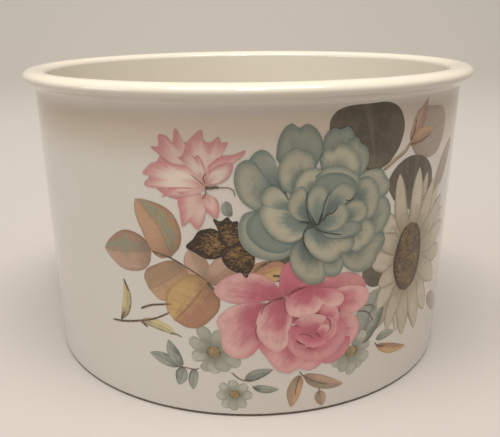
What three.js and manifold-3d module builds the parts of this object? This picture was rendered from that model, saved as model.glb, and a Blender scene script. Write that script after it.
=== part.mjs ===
// Butter crock: a straight-sided glazed stoneware pot with a rolled rim and a shallow foot ring, and
// the five printed flower transfers that are fired onto its glaze. The pot stands open, with no lid.
// Millimetres, +Z up. The origin is the centre of the foot's underside, and -Y is the printed front.
import * as THREE from "three";
import { mergeVertices } from "three/addons/utils/BufferGeometryUtils.js";
import Module from "manifold-3d";

// Driving dimensions of the pot
const HEIGHT = 83; // foot to the top of the rim
const RIM_RADIUS = 65; // round the outside of the rolled rim, the widest place
const RIM_OVERHANG = 3.2; // how far the rim stands out past the wall
const RIM_HEIGHT = 3.8; // the rolled rim from its top to its underside
const RIM_UNDERCUT = THREE.MathUtils.degToRad(60); // how far round the rim's oval turns in below
const COVE_HEIGHT = 1.1; // the soft hollow where the rim's underside runs into the wall
const WALL_DRAFT = 1; // how much nearer the axis the wall is at the foot than under the rim
const WALL_THICKNESS = 3;
const FLOOR_THICKNESS = 4.2;
const INNER_CORNER_RADIUS = 6; // inside, where the wall turns into the floor
const FOOT_EDGE_RADIUS = 1; // outside, where the wall turns under
const FOOT_RING_WIDTH = 5; // the flat, unglazed ring that the pot stands on
const FOOT_RECESS = 1.2; // how far the underside is hollowed inside that ring
const RECESS_SLOPE_WIDTH = 1.5; // the ring's inner side leans, so that the cast pot leaves its mould

// Driving dimensions of the transfers
const FILM_THICKNESS = 0.1;
const FILM_CLEARANCE = 0.05; // between the glaze and the film
const PRINT_MARGIN = 0.6; // bare wall kept above and below the printed band
const DRAWN_BAND_HEIGHT = 75.3; // height of the printed band that the motifs below are drawn for

// How finely the round shapes are cut
const TURN_STEPS = 96; // flats round the pot, a multiple of four so that it is as wide as it is deep
const RIM_STEPS = 16; // of 15 degrees, so that one point is the widest and one is the top
const COVE_STEPS = 4;
const INNER_CORNER_STEPS = 6;
const FOOT_EDGE_STEPS = 3;
const MOTIF_STEPS = 20;

// The pot's profile, as [radius, height] from the axis, under the foot, up the outside, over the rim
// and down the inside to the axis again.
const wallTopRadius = RIM_RADIUS - RIM_OVERHANG;
const footRadius = wallTopRadius - WALL_DRAFT;
const lipRadius = wallTopRadius - WALL_THICKNESS;
const rimCentreRadius = (RIM_RADIUS + lipRadius) / 2;
const rimCentreHeight = HEIGHT - RIM_HEIGHT / 2;
const rimOval = new THREE.EllipseCurve(
  rimCentreRadius,
  rimCentreHeight,
  RIM_RADIUS - rimCentreRadius,
  RIM_HEIGHT / 2,
  -RIM_UNDERCUT,
  Math.PI,
);

// The cove leaves the wall upright and meets the rim along the oval's own tangent.
const rimUnderside = rimOval.getPoint(0);
const undersideTangent = rimOval.getTangent(0);
const coveCorner = new THREE.Vector2(
  wallTopRadius,
  rimUnderside.y -
    ((rimUnderside.x - wallTopRadius) * undersideTangent.y) /
      undersideTangent.x,
);
const wallTopHeight = coveCorner.y - COVE_HEIGHT;
const cove = new THREE.QuadraticBezierCurve(
  new THREE.Vector2(wallTopRadius, wallTopHeight),
  coveCorner,
  rimUnderside,
);

const innerFootRadius = footRadius - WALL_THICKNESS;
const innerCorner = new THREE.EllipseCurve(
  innerFootRadius - INNER_CORNER_RADIUS,
  FLOOR_THICKNESS + INNER_CORNER_RADIUS,
  INNER_CORNER_RADIUS,
  INNER_CORNER_RADIUS,
  0,
  -Math.PI / 2,
  true,
);
const footEdge = new THREE.EllipseCurve(
  footRadius - FOOT_EDGE_RADIUS,
  FOOT_EDGE_RADIUS,
  FOOT_EDGE_RADIUS,
  FOOT_EDGE_RADIUS,
  -Math.PI / 2,
  0,
);
const ringInnerRadius = footRadius - FOOT_EDGE_RADIUS - FOOT_RING_WIDTH;

const potProfile = [
  new THREE.Vector2(0, FOOT_RECESS),
  new THREE.Vector2(ringInnerRadius - RECESS_SLOPE_WIDTH, FOOT_RECESS),
  new THREE.Vector2(ringInnerRadius, 0),
  ...footEdge.getPoints(FOOT_EDGE_STEPS),
  ...cove.getPoints(COVE_STEPS),
  ...rimOval.getPoints(RIM_STEPS).slice(1),
  ...innerCorner.getPoints(INNER_CORNER_STEPS),
  new THREE.Vector2(0, FLOOR_THICKNESS),
];

// A profile turned about the upright axis
function turned(profile) {
  return new THREE.LatheGeometry(profile, TURN_STEPS).rotateX(Math.PI / 2);
}

// The printed motifs, each a leaning oval: [along, up, half width, half height, lean in degrees].
// "along" runs round the wall to the right from the middle of the front, and "up" from the foot.
const MOTIFS = {
  bouquet_transfer: [
    [17, 55.5, 20.5, 19, 0], // blue peony
    [12, 27.5, 20, 14.5, 8], // pink rose
    [-12.5, 62, 12.5, 10.5, -10], // pink lily
    [50, 40, 19, 20, 0], // white daisy, upper petals
    [52, 27.5, 13, 14, 0], // white daisy, hanging petals
    [27.5, 69, 10.5, 7.8, 0], // dark leaf above the peony
    [44, 58.5, 9, 7, 0], // dark leaf behind the daisy
    [50, 68, 9, 8, 0], // pink and grey leaves by the rim
    [-6, 46.5, 8.5, 8.5, 0], // seed cones
    [-14, 37, 12, 8, -40], // golden leaf and its stem
    [-22, 47.5, 6, 9, -20], // upper leaf of the spray
    [-31, 42.8, 7.5, 6, 0], // outer leaf of the spray
    [-9.5, 17.5, 6.5, 6.5, 0], // small daisy by the rose
    [-2.5, 8.5, 8, 6, 0], // small daisy at the foot
    [26.2, 15, 6.6, 6.6, 0], // small daisy under the rose
  ],
  budding_twig_transfer: [
    [-28.5, 24.5, 9.5, 2.6, 12], // twig
    [-33.2, 29.5, 2.2, 6.2, 8], // upright bud
  ],
  green_sprig_transfer: [
    [-21.5, 15.2, 5.6, 2.6, -28], // outer leaf
    [-19, 11.8, 4.4, 3.4, -50], // inner leaves
  ],
  brown_leaf_transfer: [
    [12.8, 6.4, 3, 4, 12], // upright leaf
    [18.3, 7, 5.6, 2.7, -24], // lying leaf
  ],
  leaf_pair_transfer: [
    [38.4, 17.2, 3.9, 1.6, -2], // upper leaf
    [40.6, 13.2, 6.4, 2.2, -22], // lower leaf
    [35.2, 16.4, 1.6, 1.6, 0], // fork of the stem
  ],
};

// Each transfer is drawn for one height of band, and is printed larger or smaller to fit the wall.
const bandBottom = FOOT_EDGE_RADIUS + PRINT_MARGIN;
const bandTop = wallTopHeight - PRINT_MARGIN;
const printScale = (bandTop - bandBottom) / DRAWN_BAND_HEIGHT;

// The film is a skin that follows the wall's draft, flat for flat.
function wallRadius(height) {
  const share =
    (height - FOOT_EDGE_RADIUS) / (wallTopHeight - FOOT_EDGE_RADIUS);
  return footRadius + share * (wallTopRadius - footRadius);
}
function skinPoint(height, clearance) {
  return new THREE.Vector2(wallRadius(height) + clearance, height);
}
const skinProfile = [
  skinPoint(bandBottom, FILM_CLEARANCE),
  skinPoint(bandBottom, FILM_CLEARANCE + FILM_THICKNESS),
  skinPoint(bandTop, FILM_CLEARANCE + FILM_THICKNESS),
  skinPoint(bandTop, FILM_CLEARANCE),
  skinPoint(bandBottom, FILM_CLEARANCE),
];

// A wedge that looks like one motif from the axis: the motif's oval, drawn on two round surfaces,
// one well inside the wall and one well outside it, with straight sides between them.
const WEDGE_INNER = wallTopRadius / 2;
const WEDGE_OUTER = wallTopRadius * 4;
function motifWedge([along, up, halfWidth, halfHeight, lean]) {
  const oval = new THREE.EllipseCurve(
    along,
    up,
    halfWidth,
    halfHeight,
    0,
    Math.PI * 2,
    false,
    THREE.MathUtils.degToRad(lean),
  );
  const outline = oval.getPoints(MOTIF_STEPS).slice(0, -1);
  const count = outline.length;
  const positions = [];
  for (const radius of [WEDGE_INNER, WEDGE_OUTER]) {
    for (const point of outline) {
      const turn = (point.x * printScale) / wallTopRadius;
      const height = bandBottom + (point.y - bandBottom) * printScale;
      positions.push(
        radius * Math.sin(turn),
        -radius * Math.cos(turn),
        height,
      );
    }
  }
  const faces = [];
  for (let i = 0; i < count; i++) {
    const next = (i + 1) % count;
    faces.push(i, next, count + next);
    faces.push(i, count + next, count + i);
  }
  for (const [a, b, c] of THREE.ShapeUtils.triangulateShape(outline, [])) {
    faces.push(a, c, b);
    faces.push(count + a, count + b, count + c);
  }
  return new THREE.BufferGeometry()
    .setAttribute("position", new THREE.Float32BufferAttribute(positions, 3))
    .setIndex(faces);
}

// Joining and cutting
const wasm = await Module();
wasm.setup();

function toSolid(geometry) {
  const bare = geometry.clone();
  bare.deleteAttribute("normal");
  bare.deleteAttribute("uv");
  const merged = mergeVertices(bare);
  return new wasm.Manifold(
    new wasm.Mesh({
      numProp: 3,
      vertProperties: merged.getAttribute("position").array,
      triVerts: new Uint32Array(merged.getIndex().array),
    }),
  );
}
function toGeometry(solid) {
  const mesh = solid.getMesh();
  const geometry = new THREE.BufferGeometry()
    .setAttribute("position", new THREE.BufferAttribute(mesh.vertProperties, 3))
    .setIndex(new THREE.BufferAttribute(mesh.triVerts, 1));
  geometry.computeVertexNormals();
  return geometry;
}
const skin = toSolid(turned(skinProfile));
function transferGeometry(motifs) {
  const wedges = motifs.map((motif) => toSolid(motifWedge(motif)));
  const joined = wedges.reduce((whole, wedge) => whole.add(wedge));
  return toGeometry(skin.intersect(joined));
}

// Finishes
const glaze = new THREE.MeshStandardMaterial({
  color: 0xd6cebe,
  roughness: 0.12,
  metalness: 0,
});
const PRINT_COLOURS = {
  bouquet_transfer: 0x9fa39b,
  budding_twig_transfer: 0xa89468,
  green_sprig_transfer: 0x93a08f,
  brown_leaf_transfer: 0xb48a66,
  leaf_pair_transfer: 0xb09a74,
};
function printFinish(colour) {
  return new THREE.MeshStandardMaterial({
    color: colour,
    roughness: 0.15,
    metalness: 0,
  });
}

// The crock
const butterCrock = new THREE.Group();

function addPiece(name, geometry, material) {
  const piece = new THREE.Mesh(geometry, material);
  piece.name = name;
  butterCrock.add(piece);
}

addPiece("crock_body", turned(potProfile), glaze);
for (const [name, motifs] of Object.entries(MOTIFS)) {
  addPiece(name, transferGeometry(motifs), printFinish(PRINT_COLOURS[name]));
}

export default butterCrock;
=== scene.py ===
# %% [markdown]
# # A stoneware butter crock with a flower print
# The crock is one fired pot: a round foot, an almost straight wall and a rolled rim, under a glossy
# cream glaze. Its only decoration is a printed flower transfer that was laid on the glaze and fired.
# We load the measured model first, because every size below comes from it. Then we set the camera,
# the studio, the pot, the glaze and, last, the print, one flower at a time.

# %% Load the measured crock
import math
import random
import bpy
import numpy as np
from mathutils import Matrix, Vector


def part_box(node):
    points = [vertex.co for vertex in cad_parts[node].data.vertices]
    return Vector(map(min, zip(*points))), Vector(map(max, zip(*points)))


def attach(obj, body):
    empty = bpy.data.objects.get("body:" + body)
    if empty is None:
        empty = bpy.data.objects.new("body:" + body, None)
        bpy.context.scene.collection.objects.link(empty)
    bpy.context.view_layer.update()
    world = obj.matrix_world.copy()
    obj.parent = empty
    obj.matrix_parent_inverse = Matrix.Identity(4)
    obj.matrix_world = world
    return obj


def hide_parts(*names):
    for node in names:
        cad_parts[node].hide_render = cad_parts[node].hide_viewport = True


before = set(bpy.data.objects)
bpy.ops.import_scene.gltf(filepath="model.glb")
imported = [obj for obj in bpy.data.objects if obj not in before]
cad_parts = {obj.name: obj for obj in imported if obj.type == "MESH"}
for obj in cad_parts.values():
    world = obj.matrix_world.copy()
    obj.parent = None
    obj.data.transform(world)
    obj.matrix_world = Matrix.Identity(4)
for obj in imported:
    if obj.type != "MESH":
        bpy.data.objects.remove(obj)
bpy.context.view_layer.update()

pot_low, pot_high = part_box("crock_body")
MM = 0.001
print("the crock is", round((pot_high.x - pot_low.x) / MM, 1), "mm across and",
      round((pot_high.z - pot_low.z) / MM, 1), "mm high")

# %% [markdown]
# ## The camera
# The crock is seen from close by, from just above its rim, so the near rim looks much wider than the
# foot and we see a little of the inside of the far wall. A short distance does this, not a wide lens.
# The lens is shifted a little to one side and up.

# %% Set the camera
CAMERA_DISTANCE = 194.8 * MM
CAMERA_HEIGHT = 96.0 * MM
CAMERA_TILT = 0.3264
CAMERA_TURN = 0.0315
CAMERA_ROLL = -0.0136
LENS_SHIFT = (0.0448, 0.0181)
SENSOR = 36.0
FOCAL_SHARE = 1.2451

bpy.ops.object.select_all(action="DESELECT")
looking = (Matrix.Rotation(CAMERA_TURN, 3, "Z") @ Matrix.Rotation(math.pi / 2 - CAMERA_TILT, 3, "X")
           @ Matrix.Rotation(CAMERA_ROLL, 3, "Z"))
bpy.ops.object.camera_add(location=(0, -CAMERA_DISTANCE, CAMERA_HEIGHT), rotation=looking.to_euler())
camera = bpy.context.object
camera.name = "view_camera"
camera.data.sensor_width = SENSOR
camera.data.lens = SENSOR * FOCAL_SHARE
camera.data.shift_x, camera.data.shift_y = LENS_SHIFT
camera.data.clip_start = 5 * MM
bpy.context.scene.camera = camera
bpy.context.scene.view_settings.view_transform = "Standard"
print("lens", round(camera.data.lens, 1), "mm")

# %% [markdown]
# ## The studio
# The crock stands on a pale cloth-coloured sheet that runs back and curves up into a wall, so that no
# edge shows behind it. One broad lamp hangs overhead and throws the soft shadow under the rim. A
# smaller one behind the camera gives the short bright streaks that the glossy rim shows.

# %% Helpers for colours and selections
def srgb(red, green, blue):
    """A colour picked on a 0 to 255 scale, as the linear colour that a shader wants."""
    def linear(level):
        share = level / 255
        return share / 12.92 if share <= 0.04045 else ((share + 0.055) / 1.055) ** 2.4
    return (linear(red), linear(green), linear(blue), 1.0)


def nothing_selected():
    if bpy.context.mode != "OBJECT":
        bpy.ops.object.mode_set(mode="OBJECT")
    bpy.ops.object.select_all(action="DESELECT")


# %% Lay the sheet
SHEET_HALF_WIDTH = 1.6
SHEET_FRONT = -3.0
SHEET_BACK = 0.9
BEND_RADIUS = 0.5
SHEET_RISE = 1.3
BEND_STEPS = 16

nothing_selected()
bpy.ops.mesh.primitive_plane_add(size=1)
sheet = bpy.context.object
sheet.name = "studio_sheet"
sheet.data.transform(sheet.matrix_world)
bpy.ops.object.mode_set(mode="EDIT")
bpy.ops.mesh.select_all(action="SELECT")
bpy.ops.transform.resize(value=(2 * SHEET_HALF_WIDTH, SHEET_BACK - SHEET_FRONT, 1))
bpy.ops.transform.translate(value=(0, (SHEET_BACK + SHEET_FRONT) / 2, 0))
bpy.ops.object.mode_set(mode="OBJECT")
for edge in sheet.data.edges:
    edge.select = all(sheet.data.vertices[i].co.y > SHEET_BACK - MM for i in edge.vertices)
for vertex in sheet.data.vertices:
    vertex.select = vertex.co.y > SHEET_BACK - MM
for face in sheet.data.polygons:
    face.select = False
bpy.ops.object.mode_set(mode="EDIT")
bpy.ops.mesh.select_mode(type="EDGE")
step_angle = math.pi / 2 / BEND_STEPS
chord = 2 * BEND_RADIUS * math.sin(step_angle / 2)
for step in range(BEND_STEPS):
    slope = (step + 0.5) * step_angle
    bpy.ops.mesh.extrude_edges_move(
        TRANSFORM_OT_translate={"value": (0, chord * math.cos(slope), chord * math.sin(slope))})
bpy.ops.mesh.extrude_edges_move(TRANSFORM_OT_translate={"value": (0, 0, SHEET_RISE)})
bpy.ops.object.mode_set(mode="OBJECT")
bpy.ops.object.shade_smooth()
print("sheet has", len(sheet.data.polygons), "faces")

# %% Colour the sheet
# Painted light: the sheet is darker at the front and brighter towards the back and up the backdrop.
NEAR_SHADED_COLOUR = srgb(187, 180, 174)
FAR_LIT_COLOUR = srgb(242, 236, 226)

cloth = bpy.data.materials.new("pale sheet")
cloth.use_nodes = True
cloth_nodes = cloth.node_tree.nodes
cloth_shader = cloth_nodes["Principled BSDF"]
cloth_place = cloth_nodes.new("ShaderNodeSeparateXYZ")
cloth_light_fade = cloth_nodes.new("ShaderNodeMapRange")
cloth_light_fade.inputs["From Min"].default_value = 0.0
cloth_light_fade.inputs["From Max"].default_value = SHEET_BACK
cloth_mix = cloth_nodes.new("ShaderNodeMix")
cloth_mix.data_type = "RGBA"
cloth_mix.inputs["A"].default_value = NEAR_SHADED_COLOUR
cloth_mix.inputs["B"].default_value = FAR_LIT_COLOUR
for start, stop in ((cloth_nodes.new("ShaderNodeTexCoord").outputs["Object"], cloth_place.inputs[0]),
                    (cloth_place.outputs["Y"], cloth_light_fade.inputs["Value"]),
                    (cloth_light_fade.outputs[0], cloth_mix.inputs["Factor"]),
                    (cloth_mix.outputs["Result"], cloth_shader.inputs["Base Color"])):
    cloth.node_tree.links.new(start, stop)
cloth_shader.inputs["Roughness"].default_value = 0.9
cloth_shader.inputs["Specular IOR Level"].default_value = 0.2
sheet.data.materials.append(cloth)

# %% Hang the lamps
def hang_lamp(name, place, aim, width, depth, watts, colour):
    nothing_selected()
    bpy.ops.object.light_add(type="AREA", location=place)
    lamp = bpy.context.object
    lamp.name = name
    lamp.data.shape = "RECTANGLE"
    lamp.data.size = width
    lamp.data.size_y = depth
    lamp.data.energy = watts
    lamp.data.color = colour[:3]
    lamp.rotation_euler = (Vector(aim) - Vector(place)).to_track_quat("-Z", "Y").to_euler()
    return lamp


WARM = (1.0, 0.955, 0.9)
COOL = (0.95, 0.98, 1.0)
hang_lamp("overhead lamp", (0.0, -0.2, 1.0), (0, 0, 0), 0.9, 0.36, 10.2, WARM)
hang_lamp("streak lamp", (0.045, -0.52, 0.86), (0, 0, 0.06), 0.17, 0.26, 2.6, WARM)
hang_lamp("left lamp", (-1.2, -0.4, 0.5), (0, 0, 0.04), 0.6, 0.6, 2.8, COOL)

WORLD_LEVEL = 0.28
world = bpy.data.worlds.new("soft room")
world.use_nodes = True
world.node_tree.nodes["Background"].inputs["Color"].default_value = srgb(250, 247, 244)
world.node_tree.nodes["Background"].inputs["Strength"].default_value = WORLD_LEVEL
bpy.context.scene.world = world

# %% [markdown]
# ## The pot
# A crock like this is turned: a profile tool scrapes the soft clay while the mould spins. We do the
# same. We draw half of the cut-through pot as a string of points and spin it round the upright axis.
# The rolled rim is an oval, the inside corner and the edge of the foot are quarter circles, and the
# ring that the pot stands on is the only part with no glaze.

# %% Sizes of the profile
RIM_RADIUS = pot_high.x / MM
HEIGHT = pot_high.z / MM
RIM_OVERHANG = 3.2
RIM_HEIGHT = 3.8
RIM_UNDERCUT = math.radians(60)
COVE_HEIGHT = 1.1
WALL_DRAFT = 1.0
WALL_THICKNESS = 3.0
FLOOR_THICKNESS = 4.2
INNER_CORNER = 6.0
FOOT_EDGE = 1.0
FOOT_RING = 5.0
FOOT_RECESS = 1.2
RECESS_SLOPE = 1.5
TURN_STEPS = 256

wall_top_radius = RIM_RADIUS - RIM_OVERHANG
foot_radius = wall_top_radius - WALL_DRAFT
lip_radius = wall_top_radius - WALL_THICKNESS


# %% Draw the profile
def arc(centre, radii, start, stop, steps):
    """Points along an oval arc, from one angle to another, in millimetres."""
    return [(centre[0] + radii[0] * math.cos(start + (stop - start) * i / steps),
             centre[1] + radii[1] * math.sin(start + (stop - start) * i / steps))
            for i in range(steps + 1)]


rim_centre = ((RIM_RADIUS + lip_radius) / 2, HEIGHT - RIM_HEIGHT / 2)
rim_radii = (RIM_RADIUS - rim_centre[0], RIM_HEIGHT / 2)
rim_arc = arc(rim_centre, rim_radii, -RIM_UNDERCUT, math.pi, 48)

underside_slope = (rim_radii[1] * math.cos(RIM_UNDERCUT)) / (rim_radii[0] * math.sin(RIM_UNDERCUT))
cove_corner = (wall_top_radius,
               rim_arc[0][1] - (rim_arc[0][0] - wall_top_radius) * underside_slope)
wall_top_height = cove_corner[1] - COVE_HEIGHT
COVE_STEPS = 8
cove_arc = []
for i in range(COVE_STEPS):
    t = i / COVE_STEPS
    weights = ((1 - t) ** 2, 2 * t * (1 - t), t * t)
    places = ((wall_top_radius, wall_top_height), cove_corner, rim_arc[0])
    cove_arc.append(tuple(sum(w * p[k] for w, p in zip(weights, places)) for k in (0, 1)))

corner_radius_in = foot_radius - WALL_THICKNESS - INNER_CORNER
inner_corner = arc((corner_radius_in, FLOOR_THICKNESS + INNER_CORNER),
                   (INNER_CORNER, INNER_CORNER), 0, -math.pi / 2, 14)
foot_edge = arc((foot_radius - FOOT_EDGE, FOOT_EDGE), (FOOT_EDGE, FOOT_EDGE), -math.pi / 2, 0, 6)
ring_inner = foot_radius - FOOT_EDGE - FOOT_RING
profile = ([(0, FOOT_RECESS), (ring_inner - RECESS_SLOPE, FOOT_RECESS), (ring_inner, 0)]
           + foot_edge + cove_arc + rim_arc + inner_corner + [(0, FLOOR_THICKNESS)])
print("the profile has", len(profile), "points")

# %% Spin the pot
nothing_selected()
bpy.ops.mesh.primitive_plane_add(size=MM)
pot = bpy.context.object
pot.name = "glazed_pot"
bpy.ops.object.mode_set(mode="EDIT")
bpy.ops.mesh.select_mode(type="VERT")
bpy.ops.mesh.select_all(action="SELECT")
bpy.ops.mesh.merge(type="CENTER")
bpy.ops.transform.translate(value=(0, 0, profile[0][1] * MM))
for here, there in zip(profile, profile[1:]):
    move = ((there[0] - here[0]) * MM, 0, (there[1] - here[1]) * MM)
    bpy.ops.mesh.extrude_region_move(TRANSFORM_OT_translate={"value": move})
bpy.ops.mesh.select_all(action="SELECT")
bpy.ops.mesh.spin(steps=TURN_STEPS, angle=2 * math.pi, center=(0, 0, 0), axis=(0, 0, 1))
bpy.ops.mesh.select_all(action="SELECT")
bpy.ops.mesh.remove_doubles(threshold=0.002 * MM)
bpy.ops.mesh.normals_make_consistent(inside=False)
bpy.ops.object.mode_set(mode="OBJECT")
bpy.ops.object.shade_smooth_by_angle(angle=math.radians(35))
print("the pot has", len(pot.data.polygons), "faces and is",
      round(pot.dimensions.x / MM, 2), "by", round(pot.dimensions.z / MM, 2), "mm")
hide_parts("crock_body")
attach(pot, "root")

# %% [markdown]
# ## A small kit for mixing materials
# Every finish here is built from the same few steps: a noise, a soft threshold, a sum and a mix of two
# colours. A sum made of nodes is hard to read, so we wrap each node's output in a Level, which adds,
# subtracts and multiplies like a plain number and lays the nodes as it goes.

# %% A number made of nodes
class Level:
    """A number that nodes work out. Arithmetic on it adds the nodes for the same arithmetic."""

    def __init__(self, socket):
        self.socket = socket

    def worked(self, operation, other=0.0, held=False):
        node = self.socket.id_data.nodes.new("ShaderNodeMath")
        node.operation = operation
        node.use_clamp = held
        feed(self, node.inputs[0])
        feed(other, node.inputs[1])
        return Level(node.outputs[0])

    def __add__(self, other):
        return self.worked("ADD", other)

    def __sub__(self, other):
        return self.worked("SUBTRACT", other)

    def __mul__(self, other):
        return self.worked("MULTIPLY", other)

    def swing(self, amount):
        """A noise turned into a sway to both sides of nothing."""
        return (self - 0.5) * amount


def feed(value, socket):
    """Set a socket to a number or colour, or join it to the output that value stands for."""
    if isinstance(value, Level):
        value = value.socket
    if isinstance(value, bpy.types.NodeSocket):
        socket.id_data.links.new(value, socket)
    else:
        socket.default_value = value


# %% Thresholds and mixes
def soft_step(level, low, high):
    """0 below low, 1 above high and a smooth rise between; low may be the greater, for a fall."""
    node = level.socket.id_data.nodes.new("ShaderNodeMapRange")
    node.interpolation_type = "SMOOTHSTEP"
    falling = low > high
    node.inputs["From Min"].default_value = min(low, high)
    node.inputs["From Max"].default_value = max(low, high)
    node.inputs["To Min"].default_value = 1.0 if falling else 0.0
    node.inputs["To Max"].default_value = 0.0 if falling else 1.0
    feed(level, node.inputs["Value"])
    return Level(node.outputs["Result"])


def mixed(share, first, second):
    """The first colour where share is 0 and the second where it is 1."""
    node = share.socket.id_data.nodes.new("ShaderNodeMix")
    node.data_type = "RGBA"
    feed(share, node.inputs[0])
    feed(first, node.inputs[6])
    feed(second, node.inputs[7])
    return node.outputs[2]


def deepened(colour, level):
    """A colour made darker or lighter by a level."""
    node = colour.id_data.nodes.new("ShaderNodeVectorMath")
    node.operation = "SCALE"
    feed(colour, node.inputs[0])
    feed(level, node.inputs["Scale"])
    return node.outputs[0]


# %% A material on the bench
GLOSS = 0.09
GLASS_IOR = 1.5
PEEL_DEPTH = 0.012 * MM
TONE_SHIFT = 37.0  # far enough that two tones never show the same strokes


class Recipe:
    """A material with one even gloss, and short names for the patterns that its colours come from."""

    def __init__(self, name):
        self.finish = bpy.data.materials.new(name)
        self.finish.use_nodes = True
        self.nodes = self.finish.node_tree.nodes
        self.shader = self.nodes["Principled BSDF"]
        self.shader.inputs["Roughness"].default_value = GLOSS
        self.shader.inputs["IOR"].default_value = GLASS_IOR
        self.place = self.nodes.new("ShaderNodeTexCoord").outputs["Object"]

    def stretched(self, place, scale, shift=None):
        node = self.nodes.new("ShaderNodeMapping")
        feed(place, node.inputs["Vector"])
        node.inputs["Scale"].default_value = scale
        if shift is not None:
            feed(shift, node.inputs["Location"])
        return node.outputs["Vector"]

    def noise(self, scale, detail=3.0, distortion=0.0, place=None):
        node = self.nodes.new("ShaderNodeTexNoise")
        node.inputs["Scale"].default_value = scale
        node.inputs["Detail"].default_value = detail
        node.inputs["Distortion"].default_value = distortion
        feed(self.place if place is None else place, node.inputs["Vector"])
        return Level(node.outputs["Fac"])

    def mark(self, label):
        """The tone, light or shade that a piece of film carries."""
        node = self.nodes.new("ShaderNodeAttribute")
        node.attribute_name = label
        return Level(node.outputs["Fac"])

    def petal_place(self):
        """Across from 0 in the middle to 1 at the sides, along from base to tip, and the raw side."""
        pair = self.nodes.new("ShaderNodeSeparateXYZ")
        feed(self.nodes.new("ShaderNodeUVMap").outputs[0], pair.inputs[0])
        side = Level(pair.outputs[0])
        return (side * 2.0 - 1.0).worked("ABSOLUTE"), Level(pair.outputs[1]), side

    def strokes(self, lines):
        """Fine strokes along a petal, different on each petal because its tone shifts them."""
        joined = self.nodes.new("ShaderNodeCombineXYZ")
        feed(self.mark("tone") * TONE_SHIFT, joined.inputs[0])
        uv = self.nodes.new("ShaderNodeUVMap").outputs[0]
        return self.noise(1.0, 4.0, 0.25, self.stretched(uv, (lines, 1.6, 1.0), joined.outputs[0]))

    def peel(self):
        """The glaze's own relief: slow waves from the turning, and a fine orange peel."""
        return self.noise(55.0, 1.0) * 1.6 + self.noise(900.0, 1.5) * 0.05

    def finished(self, colour, relief):
        """Join the colour and the relief to the shader."""
        feed(colour, self.shader.inputs["Base Color"])
        node = self.nodes.new("ShaderNodeBump")
        node.inputs["Strength"].default_value = 1.0
        node.inputs["Distance"].default_value = PEEL_DEPTH
        feed(relief, node.inputs["Height"])
        feed(node.outputs["Normal"], self.shader.inputs["Normal"])
        return self.finish


# %% [markdown]
# ## The glaze
# The glaze is a cream glass, a third of a millimetre thick. It runs thin over the rim, its colour drifts
# by a shade, and under a lamp it shows a faint orange peel. A warmer, darker band on the outside wall
# below the rim is painted shadow, where the rim shades the wall, and the inside of the pot is painted
# lighter, as painted light. The glaze stops just above the foot ring, where the buff clay is bare, and it
# ends in a thin brown line that is partly the glaze's edge and partly painted shade for the contact
# shadow at the foot. Object coordinates carry all of this, because the pot never turns.

# %% Mix the glaze
GLAZE_CREAM = srgb(215, 210, 201)
GLAZE_SHADE = srgb(209, 202, 189)
GLAZE_THIN = srgb(228, 218, 199)
GLAZE_RIM_SHADOW = srgb(200, 186, 168)
GLAZE_INSIDE_LIT = srgb(219, 212, 198)
GLAZE_SPECK_AND_FOOT_SHADE = srgb(88, 70, 52)
BARE_CLAY = srgb(158, 134, 106)
DARK_CLAY = srgb(128, 106, 82)
GLAZE_STOP = 0.55 * MM
RIM_SHADOW_LOW = 62 * MM
RIM_SHADOW_FULL = 73.5 * MM
RIM_SHADOW_FADES = 74.8 * MM
RIM_SHADOW_TOP = 78.8 * MM

glaze = Recipe("cream glaze")
split = glaze.nodes.new("ShaderNodeSeparateXYZ")
feed(glaze.place, split.inputs[0])
height = Level(split.outputs["Z"])
reach = glaze.nodes.new("ShaderNodeVectorMath")
reach.operation = "LENGTH"
feed(glaze.stretched(glaze.place, (1.0, 1.0, 0.0)), reach.inputs[0])
outside = soft_step(Level(reach.outputs["Value"]), (foot_radius - 1.6) * MM, (foot_radius - 0.8) * MM)

drift = soft_step(glaze.noise(28.0, 4.0, 0.6), 0.35, 0.7)
colour = mixed(drift * 0.45, GLAZE_CREAM, GLAZE_SHADE)
colour = mixed(soft_step(height, (HEIGHT - RIM_HEIGHT) * MM, HEIGHT * MM) * 0.9, colour, GLAZE_THIN)
# Painted shadow: a warmer, darker band on the outside wall below the rim, where the rim shades it.
painted_rim_shadow = soft_step(height, RIM_SHADOW_LOW, RIM_SHADOW_FULL) * soft_step(height, RIM_SHADOW_TOP, RIM_SHADOW_FADES)
colour = mixed(painted_rim_shadow * outside, colour, GLAZE_RIM_SHADOW)
# Painted light: the inside of the pot is painted a little lighter than the outside.
colour = mixed(outside, GLAZE_INSIDE_LIT, colour)
specks = soft_step(glaze.noise(1500.0, 2.0), 0.72, 0.8)
colour = mixed(specks * 0.18, colour, GLAZE_SPECK_AND_FOOT_SHADE)

# The thin brown line where the glaze stops is partly the glaze's own edge and partly painted shade for the
# contact shadow at the foot.
ragged = height + glaze.noise(700.0, 2.0) * (0.25 * MM)
foot_line_and_shade = soft_step(ragged, GLAZE_STOP + 0.55 * MM, GLAZE_STOP + 0.2 * MM)
colour = mixed(foot_line_and_shade, colour, GLAZE_SPECK_AND_FOOT_SHADE)
bare = soft_step(ragged, GLAZE_STOP + 0.1 * MM, GLAZE_STOP - 0.1 * MM)
grain = glaze.noise(2600.0, 4.0)
colour = mixed(bare, colour, mixed(grain, BARE_CLAY, DARK_CLAY))
feed(bare * 0.65 + (drift * 0.06 + (GLOSS - 0.03)), glaze.shader.inputs["Roughness"])
pot.data.materials.append(glaze.finished(colour, glaze.peel() + bare * grain * 4.0))

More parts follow.
